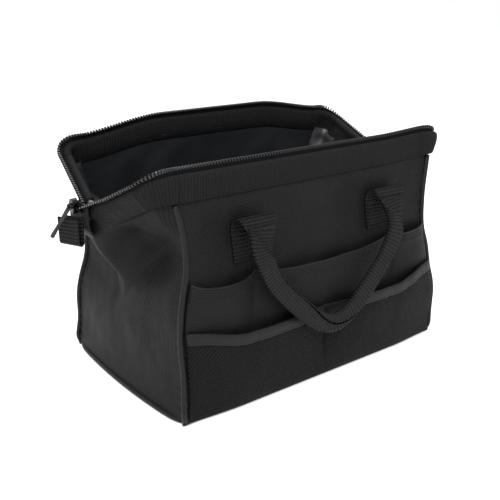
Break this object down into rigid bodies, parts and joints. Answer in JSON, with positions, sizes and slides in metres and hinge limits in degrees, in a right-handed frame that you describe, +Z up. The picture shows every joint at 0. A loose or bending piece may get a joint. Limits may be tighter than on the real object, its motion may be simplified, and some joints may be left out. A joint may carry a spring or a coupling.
{
  "type": "zippered tool bag",
  "caption": "Soft wide-mouth tool bag with a hinged wire frame in its zippered mouth, webbing handles, cloth pockets and mesh pockets.",
  "frame": {"origin": "centre of the underside of the base", "axes": "+X along the bag's length, away from the slider's end; +Y towards the back; +Z up"},
  "size_m": [0.4338, 0.2498, 0.2316],
  "materials": {
    "polyester": "woven 600 denier polyester, coated inside",
    "ribbed_band": "ribbed woven band",
    "netting": "knitted polyester netting",
    "binding": "smooth folded binding tape",
    "webbing": "woven polypropylene webbing",
    "piping": "piping cord covered in woven tape",
    "board": "smooth polyethylene board",
    "zip_teeth": "moulded acetal zip teeth",
    "wire": "bright drawn steel wire",
    "nickel": "nickel-plated die-cast zinc"
  },
  "bodies": {
    "base": {"bottom_panel": "polyester", "base_board": "board", "left_bottom_piping": "piping", "right_bottom_piping": "piping", "left_end_panel": "polyester", "right_end_panel": "polyester"},
    "front_wall": {"front_panel": "polyester", "front_left_piping": "piping", "front_right_piping": "piping", "front_cloth_pocket": "polyester", "front_mesh_pocket": "netting", "front_mesh_binding": "binding", "front_left_handle_patch": "webbing", "front_right_handle_patch": "webbing"},
    "front_rim": {"front_band": "ribbed_band", "front_zip_tape": "webbing", "front_zip_teeth": "zip_teeth"},
    "front_frame": {"front_frame_wire": "wire", "front_left_hem": "ribbed_band", "front_right_hem": "ribbed_band", "front_left_zip": "zip_teeth", "front_right_zip": "zip_teeth", "front_left_corner": "ribbed_band", "front_right_corner": "ribbed_band", "left_rivet": "wire", "right_rivet": "wire", "left_end_cover": "ribbed_band", "right_end_cover": "ribbed_band", "left_tab": "webbing", "right_tab": "webbing", "zip_slider": "nickel"},
    "back_wall": {"back_panel": "polyester", "back_left_piping": "piping", "back_right_piping": "piping", "back_cloth_pocket": "polyester", "back_mesh_pocket": "netting", "back_mesh_binding": "binding", "back_left_handle_patch": "webbing", "back_right_handle_patch": "webbing", "back_band": "ribbed_band", "back_zip_tape": "webbing", "back_zip_teeth": "zip_teeth"},
    "back_frame": {"back_frame_wire": "wire", "back_left_hem": "ribbed_band", "back_right_hem": "ribbed_band", "back_left_zip": "zip_teeth", "back_right_zip": "zip_teeth", "back_left_corner": "ribbed_band", "back_right_corner": "ribbed_band"},
    "front_handle": {"front_handle": "webbing"},
    "back_handle": {"back_handle": "webbing"},
    "zip_pull": {"zip_pull": "nickel"}
  },
  "joints": [
    {"name": "mouth_close", "type": "hinge", "parent": "base", "child": "front_wall", "pos_m": [0, -0.1014, 0.004], "axis": [-1, 0, 0], "range_deg": [0, 20.81], "deforming": ["left_end_panel", "right_end_panel"]},
    {"name": "front_rim_slide", "type": "slide", "parent": "front_wall", "child": "front_rim", "axis": [0, 0.0933, 0.9956], "range_m": [0, 0.00798]},
    {"name": "front_frame_fold", "type": "hinge", "parent": "front_rim", "child": "front_frame", "pos_m": [0, -0.082, 0.211], "axis": [-1, 0, 0], "range_deg": [0, 46.09], "deforming": ["front_left_corner", "front_right_corner"]},
    {"name": "back_wall_close", "type": "hinge", "parent": "base", "child": "back_wall", "pos_m": [0, 0.1014, 0.004], "axis": [1, 0, 0], "range_deg": [0, 21.02]},
    {"name": "back_frame_fold", "type": "hinge", "parent": "back_wall", "child": "back_frame", "pos_m": [0, 0.082, 0.219], "axis": [1, 0, 0], "range_deg": [0, 41.33], "deforming": ["back_left_corner", "back_right_corner"]},
    {"name": "front_handle_swing", "type": "hinge", "parent": "front_wall", "child": "front_handle", "pos_m": [0, -0.11264, 0.168], "axis": [-1, 0, 0], "range_deg": [0, 165]},
    {"name": "back_handle_swing", "type": "hinge", "parent": "back_wall", "child": "back_handle", "pos_m": [0, 0.1135, 0.168], "axis": [1, 0, 0], "range_deg": [0, 165]},
    {"name": "zip_pull_swing", "type": "hinge", "parent": "front_frame", "child": "zip_pull", "pos_m": [-0.2037, 0, 0.1838], "axis": [0, 1, 0], "range_deg": [0, 105]}
  ],
  "couplings": [
    {"joint": "front_rim_slide", "follows": "mouth_close", "m_per_rad": 0.02193},
    {"joint": "front_frame_fold", "follows": "mouth_close", "ratio": 2.2136},
    {"joint": "back_wall_close", "follows": "mouth_close", "ratio": 1.0095},
    {"joint": "back_frame_fold", "follows": "mouth_close", "ratio": 1.9851}
  ]
}
